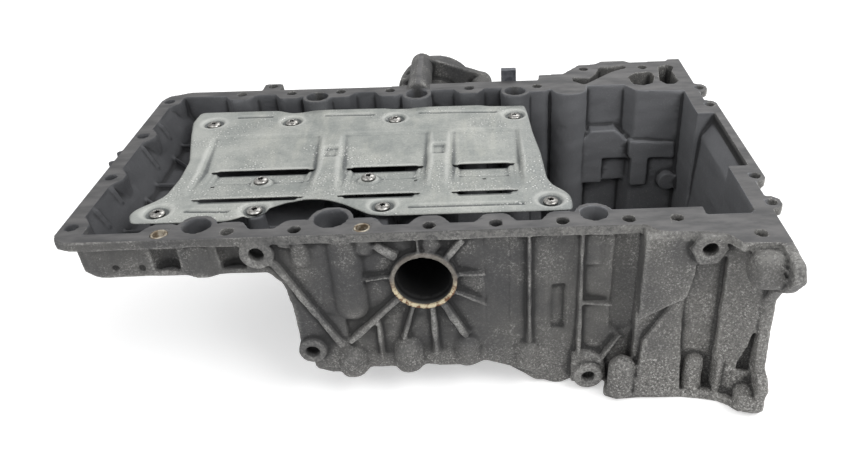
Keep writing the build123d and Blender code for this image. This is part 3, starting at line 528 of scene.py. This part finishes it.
def make_casting():
    """Casting with its cast skin: the CAD solid in even cells, its edges worn round, its skin uneven.

    The mesh carries relief: positive on edges that stick out, negative in corners.
    """
    joined = bmesh.new()
    joined.from_mesh(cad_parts["pan_casting"].data)
    bmesh.ops.remove_doubles(joined, verts=joined.verts, dist=1e-6)
    mesh = bpy.data.meshes.new("casting_shell")
    joined.to_mesh(mesh)
    joined.free()
    shell = bpy.data.objects.new("casting_shell", mesh)
    bpy.context.collection.objects.link(shell)
    cells = shell.modifiers.new("cells", "REMESH")
    cells.mode = "VOXEL"
    cells.voxel_size = CELL_MM * MM
    mesh = finished_mesh(shell)
    shell.modifiers.clear()

    points = np.empty(len(mesh.vertices) * 3)
    mesh.vertices.foreach_get("co", points)
    points = points.reshape(-1, 3)
    edges = np.empty(len(mesh.edges) * 2, dtype=np.int64)
    mesh.edges.foreach_get("vertices", edges)
    edges = edges.reshape(-1, 2)
    cast = sand_cast_part(points)[:, None]
    points = smoothed_skin(filled_channels(points), edges, cast)
    mesh.vertices.foreach_set("co", points.ravel())
    mesh.update()
    normals = np.empty(len(mesh.vertices) * 3)
    mesh.vertex_normals.foreach_get("vector", normals)
    normals = normals.reshape(-1, 3)
    relief = relief_of(points, edges, normals)
    points = points + normals * (cast[:, 0] * swell(points))[:, None]
    low, high = (np.array(corner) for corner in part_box("pan_casting"))
    mesh.vertices.foreach_set("co", np.clip(points, low, high).ravel())
    mesh.attributes.new("relief", "FLOAT", "POINT").data.foreach_set("value", relief)
    mesh.update()

    shell.data = mesh
    fewer = shell.modifiers.new("fewer", "DECIMATE")
    fewer.ratio = CASTING_TRIANGLES / (2 * len(mesh.polygons))
    mesh = finished_mesh(shell)
    bpy.data.objects.remove(shell)
    mesh.name = "cast_pan"
    mesh.materials.clear()
    mesh.materials.append(MATERIALS["pan_casting"])
    mesh.polygons.foreach_set("use_smooth", np.ones(len(mesh.polygons), dtype=bool))
    piece = bpy.data.objects.new("cast_pan", mesh)
    bpy.context.collection.objects.link(piece)
    leaning = piece.modifiers.new("leaning", "WEIGHTED_NORMAL")
    leaning.mode = "FACE_AREA"
    leaning.weight = 80
    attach(piece, "root")
    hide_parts("pan_casting")


# Tray in millimetres: its level, its sheet, its slots' rows, the screws' seats, and the drops of
# its bays, border and saddles
TRAY_Z = -8.0
SHEET_T = 0.9
UPPER_SLOT_Y = -9.5
LOWER_SLOT_Y = -60.5
ROW_GAP = 0.4
SLOT_GAP = 2.9
DIMPLE_DEPTH = 3.0
MIDDLE_SEAT_Z = -10.0
CREASE_Y, CREASE_DROP, PANEL_DROP, NEAR_LIFT = 45, 1.3, 3.3, 0.3
BORDER_DROP, SADDLE_DEPTH, BEAD_HALF = 1.6, 1.9, 2.8

# Straight grid of the tray: its ends, and where the bands begin that follow the tray's edge
GRID_X, GRID_Y = (-162.0, 140.0), (-90.0, 95.0)
LEFT_BAND_X, RIGHT_BAND_X, FAR_BAND_Y = -118.0, 112.0, 62.0

# Bays of the tray: places of the left and right sides at the far end, the middle and the near end,
# the rows where those three lie, from near to far, the ends of the slots, each row of slots with
# how far its edges are drawn back, and the reach of that
BAY_SIDES = [((-147, -142, -143), (-51, -46, -46)), ((-37, -32, -28), (41, 42, 42)),
             ((55, 55, 54), (117, 117, 116))]
BAY_ROWS = (-61, -14, 47)
SLOTS = [(-132.5, -51.5), (-25.5, 35.5), (59.7, 108.6)]
SLOT_ROWS = [(UPPER_SLOT_Y, 2.0), (LOWER_SLOT_Y, 1.1)]
DRAW_REACH = 10
SADDLES = [(-46, -35), (42, 53)]
EDGE_SCREWS = [(x, 74.5) for x in (-152.7, -84, 7.2, 113.4)]
EDGE_SCREWS += [(x, -75.5) for x in (-153.8, -83.6, 9.4, 132.4)]
MIDDLE_SCREWS = [(x, -32) for x in (-88.3, -5.4)]
SMALL_HOLES = [(-125.1, -35.2), (31.1, -35.1), (84.2, -35.1)]
SMALL_HOLE_R = 1.8

# Pressed grooves: the two ends and the depth of each
BEADS = [(-133, 85.3, -104, 85.1, 1.5), (-54.8, 84.3, -13.3, 83.4, 1.5), (28.7, 84.4, 96.7, 81.6, 1.5),
         (-133, -75.9, -103, -77.8, 1.5), (29.5, -79.4, 111.9, -79.8, 1.5), (-121.5, -29.4, -98, -30.6, 0.6),
         (-77.9, -29.7, -53.7, -30.3, 0.6), (6.2, -28.8, 31.5, -28.3, 0.6), (66, -28.5, 103, -29.6, 0.6)]

# Edge of the tray: runs of places along X or Y and the distances that they have there
NEAR_RUN = ([-162, -100, -93, -84.8, -77, -68.8, -62.4, -55.8, -50, -40, -30, -19.5, -9.8, -1, 10, 140],
            [-90, -90.5, -88.5, -82.8, -78.3, -73.2, -68.8, -65.4, -63.8, -63.6, -66, -72.1, -79.7, -87,
             -89.5, -90])
FAR_RUN = ([-162, -90, -83, -75, -66, -58, -53, 10, 16, 32, 40, 98, 106, 140],
           [99.5, 99, 95.5, 92, 93.5, 97, 98.3, 97.5, 95.2, 95, 98.3, 98.5, 95.2, 94])
LEFT_RUN = ([-90, -78, -70, -59, -50, -25, 4, 52, 79, 95],
            [-168, -173, -171, -160, -155, -152.5, -153.5, -166, -172, -171])
RIGHT_RUN = ([-90, -80, -70, -63, -53, -42, 0, 41, 78, 95],
             [147, 148, 147.5, 144.5, 136, 132.5, 131, 127, 125.3, 123.5])


def tray_grid():
    """Plan of the tray in millimetres: straight rows and columns whose outer bands follow its edge.

    Each edge is a run of points over the straight grid's own border. All four runs are joined to
    one closed line and smoothed, which rounds the corners. The border's shift from the straight
    grid fades inwards, in proportion to the distance from the band's inner end.
    """
    x = np.linspace(*GRID_X, 256)
    y = np.concatenate([np.linspace(GRID_Y[0], LOWER_SLOT_Y - ROW_GAP, 27),
                        np.linspace(LOWER_SLOT_Y + ROW_GAP, UPPER_SLOT_Y - ROW_GAP, 46),
                        np.linspace(UPPER_SLOT_Y + ROW_GAP, GRID_Y[1], 92)])
    straight_x, straight_y = np.meshgrid(x, y)
    near, far = np.interp(x, *NEAR_RUN), np.interp(x, *FAR_RUN)
    left, right = np.interp(y, *LEFT_RUN), np.interp(y, *RIGHT_RUN)
    near_x = left[0] + (right[0] - left[0]) * (x - x[0]) / (x[-1] - x[0])
    far_x = left[-1] + (right[-1] - left[-1]) * (x - x[0]) / (x[-1] - x[0])
    side_y = near[-1] + (far[-1] - near[-1]) * (y - y[0]) / (y[-1] - y[0])
    ring_x = np.concatenate([near_x[:-1], right[:-1], far_x[:0:-1], left[:0:-1]])
    ring_y = np.concatenate([near[:-1], side_y[:-1], far[:0:-1], side_y[:0:-1]])
    ring_x, ring_y = smoothed(ring_x, 2), smoothed(ring_y, 2)
    columns, rows = len(x) - 1, len(y) - 1
    starts = np.cumsum([0, columns, rows, columns])
    around = np.arange(len(ring_x) + 1) % len(ring_x)
    sides = [around[starts[0]:starts[1] + 1], around[starts[1]:starts[2] + 1],
             around[starts[2]:starts[3] + 1][::-1], around[starts[3]:][::-1]]
    fade_left, fade_right = ramp(x, LEFT_BAND_X, GRID_X[0]), ramp(x, RIGHT_BAND_X, GRID_X[1])
    fade_near, fade_far = ramp(y, LOWER_SLOT_Y - ROW_GAP, GRID_Y[0]), ramp(y, FAR_BAND_Y, GRID_Y[1])
    plan = []
    for ring, straight in ((ring_x, straight_x), (ring_y, straight_y)):
        near_shift = ring[sides[0]] - straight[0]
        right_shift = ring[sides[1]] - straight[:, -1]
        far_shift = ring[sides[2]] - straight[-1]
        left_shift = ring[sides[3]] - straight[:, 0]
        moved = straight + fade_near[:, None] * near_shift + fade_far[:, None] * far_shift
        moved = moved + fade_left * left_shift[:, None] + fade_right * right_shift[:, None]
        moved -= fade_near[:, None] * (fade_left * near_shift[0] + fade_right * near_shift[-1])
        moved -= fade_far[:, None] * (fade_left * far_shift[0] + fade_right * far_shift[-1])
        plan.append(moved)
    return plan[0], plan[1], straight_y


def slot_form(x, ends):
    """Opening of a slot along its length: 1 over most of it, with a lower rounded hook at each end."""
    left = 0.4 * ease(x, ends[0] - 1, ends[0] + 1) + 0.6 * ease(x, ends[0] + 3, ends[0] + 6)
    right = 0.4 * ease(x, ends[1] - 1, ends[1] + 1) + 0.6 * ease(x, ends[1] - 6, ends[1] - 3)
    return left * (1 - right)


def tray_heights(x, y, row_y):
    """Height of the sheet in millimetres: the border's level less bays, beads, saddles and dimples.

    In a bay the far panel drops over a short slope and falls to the upper slot. The near panel
    starts lower, below the far panel's lip, and rises to the lower slot, past which the border is
    pressed down a little. Both are full inside the bay's sides and fade out over them. A bead is
    a groove around a line. A dimple is a flat seat with a cone to it.
    """
    depth = np.zeros_like(x)
    for (left, right), ends in zip(BAY_SIDES, SLOTS):
        left_x = np.interp(y, BAY_ROWS, left[::-1])
        right_x = np.interp(y, BAY_ROWS, right[::-1])
        inside = ease(x, left_x, left_x + 5.5) * (1 - ease(x, right_x - 5, right_x))
        gap = slot_form(x, ends)
        crease = CREASE_DROP * ease(y, CREASE_Y + 4, CREASE_Y - 2.5)
        fall = crease + PANEL_DROP * ramp(y, CREASE_Y, UPPER_SLOT_Y)
        low = CREASE_DROP + PANEL_DROP + SLOT_GAP * gap
        rise = low - (low + NEAR_LIFT) * ramp(y, UPPER_SLOT_Y, LOWER_SLOT_Y)
        panel = np.where(row_y > UPPER_SLOT_Y, fall, rise)
        border = BORDER_DROP * gap * ease(y, LOWER_SLOT_Y - 7.5, LOWER_SLOT_Y - 1)
        depth += np.where(row_y < LOWER_SLOT_Y, border, inside * panel)
    for x1, y1, x2, y2, deep in BEADS:
        depth += deep * (1 - ease(away(x, y, x1, y1, x2, y2), 0.3, BEAD_HALF))
    for left_x, right_x in SADDLES:
        inside = within(x, left_x - 2, right_x + 2, 4)
        depth += SADDLE_DEPTH * inside * within(y, 2.5, 24, 5)
    for screw_x, screw_y in EDGE_SCREWS:
        pressed = 1 - ease(np.hypot(x - screw_x, y - screw_y), 6.6, 10.8)
        depth += (DIMPLE_DEPTH - depth) * pressed
    for screw_x, screw_y in MIDDLE_SCREWS:
        pressed = 1 - ease(np.hypot(x - screw_x, y - screw_y), 6.5, 9.5)
        depth += (TRAY_Z - MIDDLE_SEAT_Z - depth) * pressed
    return TRAY_Z - depth


def blurred(values, span, times):
    """Grid of numbers, each the mean of a square of its neighbours, taken several times."""
    for _ in range(times):
        padded = np.pad(values, span, mode="edge")
        rows, columns = values.shape
        shifts = range(2 * span + 1)
        total = sum(padded[i:i + rows, j:j + columns] for i in shifts for j in shifts)
        values = total / len(shifts) ** 2
    return values


def make_tray():
    """Pressed tray: the plan grid at its heights, its rim turned down, its slots and holes left open.

    Near a slot the rows draw back from it, each in proportion to how near it is.
    """
    x, y, row_y = tray_grid()
    z = tray_heights(x, y, row_y)
    relief = z - blurred(z, 2, 3)
    rows, columns = x.shape
    row, column = np.indices(x.shape)
    rim = np.minimum(np.minimum(row, rows - 1 - row), np.minimum(column, columns - 1 - column))
    z -= SHEET_T * ramp(rim, 1.5, 0)
    spread = np.zeros_like(x)
    holes = np.zeros((rows - 1, columns - 1), dtype=bool)
    for level, drawn in SLOT_ROWS:
        upper = int(np.argmax(row_y[:, 0] > level))
        form = sum(slot_form(x, ends) for ends in SLOTS)
        spread += form * drawn * np.sign(row_y - level) * ramp(np.abs(row_y - level), DRAW_REACH, 0)
        holes[upper - 1] |= (form[upper, :-1] + form[upper, 1:]) / 2 > 0.10
    middle_x = (x[:-1, :-1] + x[1:, 1:]) / 2
    middle_y = (y[:-1, :-1] + y[1:, 1:]) / 2
    for hole_x, hole_y in SMALL_HOLES:
        holes |= np.hypot(middle_x - hole_x, middle_y - hole_y) < SMALL_HOLE_R
    faces = grid_faces(rows, columns)[~holes.ravel()]
    points = np.stack([x, y + spread, z], axis=-1).reshape(-1, 3)
    piece = add_surface("pressed_tray", points, faces, MATERIALS["windage_tray"], relief.ravel())
    sheet = piece.modifiers.new("sheet", "SOLIDIFY")
    sheet.thickness = SHEET_T * MM
    sheet.offset = -1.0
    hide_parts("windage_tray")


# Button screws in millimetres
HEAD_R, HEAD_RISE, HEAD_SIDE = 5.6, 2.6, 1.0
SHANK_R, SHANK_L = 2.95, 14.0
LOBE_R, LOBE_SWELL, RECESS_DEPTH = 2.25, 0.17, 1.9
AXIS_R = 0.02


def screw_points(turn, at):
    """Rings of points of one button screw and their relief, from the recess's middle to the shank's end.

    The dome is a quarter of an ellipse above a short upright side. The six-lobed recess is where
    the distance from the axis is less than a circle that swells and shrinks six times around.
    """
    angle = np.linspace(0, 2 * np.pi, 72, endpoint=False)
    radius = np.concatenate([[AXIS_R], np.linspace(0.5, 3.2, 19), np.linspace(3.4, 5.45, 9),
                             [HEAD_R, HEAD_R, HEAD_R - 0.1, SHANK_R]])
    height = HEAD_SIDE + HEAD_RISE * np.sqrt(np.clip(1 - (radius / HEAD_R) ** 2, 0, 1))
    height[-3:] = 0.35, 0.0, 0.0
    ring_angle, ring_radius = np.meshgrid(angle, radius)
    lobes = LOBE_R * (1 + LOBE_SWELL * np.cos(6 * ring_angle))
    recess = 1 - ease(ring_radius, lobes - 0.16, lobes + 0.16)
    heights = height[:, None] - RECESS_DEPTH * recess
    heights[-3:] = height[-3:, None]
    shank = np.full((2, len(angle)), 1.0)
    # Relief of the screws marks painted shade: -1 in the recess, -0.4 on the head's side and on the shank
    relief = np.concatenate([-recess, -0.4 * shank])
    relief[len(radius) - 4:] = -0.4
    ring_radius = np.concatenate([ring_radius, shank * [[SHANK_R], [AXIS_R]]])
    heights = np.concatenate([heights, shank * -SHANK_L])
    ring_angle = np.concatenate([ring_angle, ring_angle[:2]])
    points = np.stack([ring_radius * np.cos(ring_angle + turn) + at[0],
                       ring_radius * np.sin(ring_angle + turn) + at[1], heights + at[2]], axis=-1)
    return points, relief


def make_screws(name, node, places, seat_z):
    """All screws of one node as one surface, each turned by its own angle."""
    points, faces, reliefs = [], [], []
    for index, (x, y) in enumerate(places):
        rings, relief = screw_points(0.9 * index + 0.2, (x, y, seat_z))
        rows, columns = rings.shape[:2]
        faces.append(grid_faces(rows, columns, wrap=True) + sum(len(p) for p in points))
        points.append(rings.reshape(-1, 3))
        reliefs.append(relief.ravel())
    piece = add_surface(name, np.concatenate(points), np.concatenate(faces)[:, ::-1], MATERIALS[node],
                        np.concatenate(reliefs))
    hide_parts(node)


# Studio

def make_camera():
    """Camera at the photograph's place, with its focal length and shift worked out from pixels."""
    data = bpy.data.cameras.new("photo_camera")
    data.sensor_width = SENSOR_MM
    data.lens = FOCAL_PX * SENSOR_MM / IMAGE[0]
    data.shift_x = (IMAGE[0] / 2 - 0.5 - CENTRE_PX[0]) / IMAGE[0]
    data.shift_y = (CENTRE_PX[1] - IMAGE[1] / 2 + 0.5) / IMAGE[0]
    data.clip_start = 0.01
    data.clip_end = 50.0
    camera = bpy.data.objects.new("photo_camera", data)
    bpy.context.collection.objects.link(camera)
    right, down, ahead = camera_rows(PITCH, YAW, ROLL)
    turn = Matrix((right, [-v for v in down], [-v for v in ahead])).transposed()
    camera.matrix_world = Matrix.Translation(CAMERA_AT) @ turn.to_4x4()
    bpy.context.scene.camera = camera


def add_lamp(name, size, power, at, aim):
    """Square soft lamp at a place, aimed at a point."""
    data = bpy.data.lights.new(name, "AREA")
    data.size = size
    data.energy = power
    lamp = bpy.data.objects.new(name, data)
    bpy.context.collection.objects.link(lamp)
    back = (np.array(at) - np.array(aim)) / np.linalg.norm(np.array(at) - np.array(aim))
    side = np.cross((0, 0, 1), back)
    side /= np.linalg.norm(side)
    turn = Matrix((side, np.cross(back, side), back)).transposed()
    lamp.matrix_world = Matrix.Translation(at) @ turn.to_4x4()


def studio():
    """Floor, world light and lamps."""
    mesh = bpy.data.meshes.new("sweep")
    reach = 6.0
    corners = [(-reach, -reach, FLOOR_Z), (reach, -reach, FLOOR_Z), (reach, reach, FLOOR_Z),
               (-reach, reach, FLOOR_Z)]
    mesh.from_pydata(corners, [], [(0, 1, 2, 3)])
    sweep = bpy.data.objects.new("sweep", mesh)
    bpy.context.collection.objects.link(sweep)
    mesh.materials.append(floor_material())

    world = bpy.data.worlds.new("studio")
    world.use_nodes = True
    bpy.context.scene.world = world
    tree = world.node_tree
    background = tree.nodes["Background"]
    background.inputs["Color"].default_value = (1.0, 1.0, 1.0, 1.0)
    rays = tree.nodes.new("ShaderNodeLightPath")
    level = tree.nodes.new("ShaderNodeMapRange")
    level.inputs["To Min"].default_value = 0.55
    level.inputs["To Max"].default_value = 1.0
    tree.links.new(rays.outputs["Is Camera Ray"], level.inputs["Value"])
    tree.links.new(level.outputs[0], background.inputs["Strength"])

    middle = (0.04, 0, -0.05)
    add_lamp("key", 1.0, 17.0, (1.1, -0.8, 1.3), middle)
    add_lamp("fill", 1.6, 7.0, (-0.9, -0.9, 1.1), middle)
    add_lamp("back", 1.0, 8.0, (0.5, 1.2, 1.3), middle)


def camera_rows(pitch, yaw, roll):
    """Right, down and ahead of a camera that looks down by the pitch, turned by the yaw and rolled."""
    pitch, yaw, roll = (math.radians(a) for a in (pitch, yaw, roll))
    ahead = np.array([math.sin(yaw) * math.cos(pitch), math.cos(yaw) * math.cos(pitch), -math.sin(pitch)])
    right = np.array([math.cos(yaw), -math.sin(yaw), 0.0])
    down = np.cross(ahead, right)
    rolled = right * math.cos(roll) + down * math.sin(roll)
    return rolled, np.cross(ahead, rolled), ahead


MATERIALS = {
    "pan_casting": casting_material(),
    "windage_tray": tray_material(),
    "tray_edge_screws": screw_material(),
    "dowel_sleeves": plain_metal("stained_sleeve", srgb(120, 104, 84), srgb(190, 182, 166), 0.5, 0.4),
    "harness_clip": plain_metal("clip_steel", srgb(84, 86, 92), srgb(112, 114, 120), 0.45, 0.5),
    "drain_plug": plain_metal("plug_steel", srgb(96, 96, 98), srgb(130, 130, 132), 0.4, 0.8),
    "drain_washer": plain_metal("washer_metal", srgb(168, 168, 170), srgb(196, 196, 198), 0.4, 0.8),
}
MATERIALS["tray_middle_screws"] = MATERIALS["tray_edge_screws"]
for node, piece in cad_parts.items():
    piece.data.materials.clear()
    piece.data.materials.append(MATERIALS[node])

make_casting()
make_tray()
make_screws("button_screws_edge", "tray_edge_screws", EDGE_SCREWS, TRAY_Z - DIMPLE_DEPTH)
make_screws("button_screws_middle", "tray_middle_screws", MIDDLE_SCREWS, MIDDLE_SEAT_Z)
make_camera()
studio()
bpy.context.scene.view_settings.view_transform = "Standard"
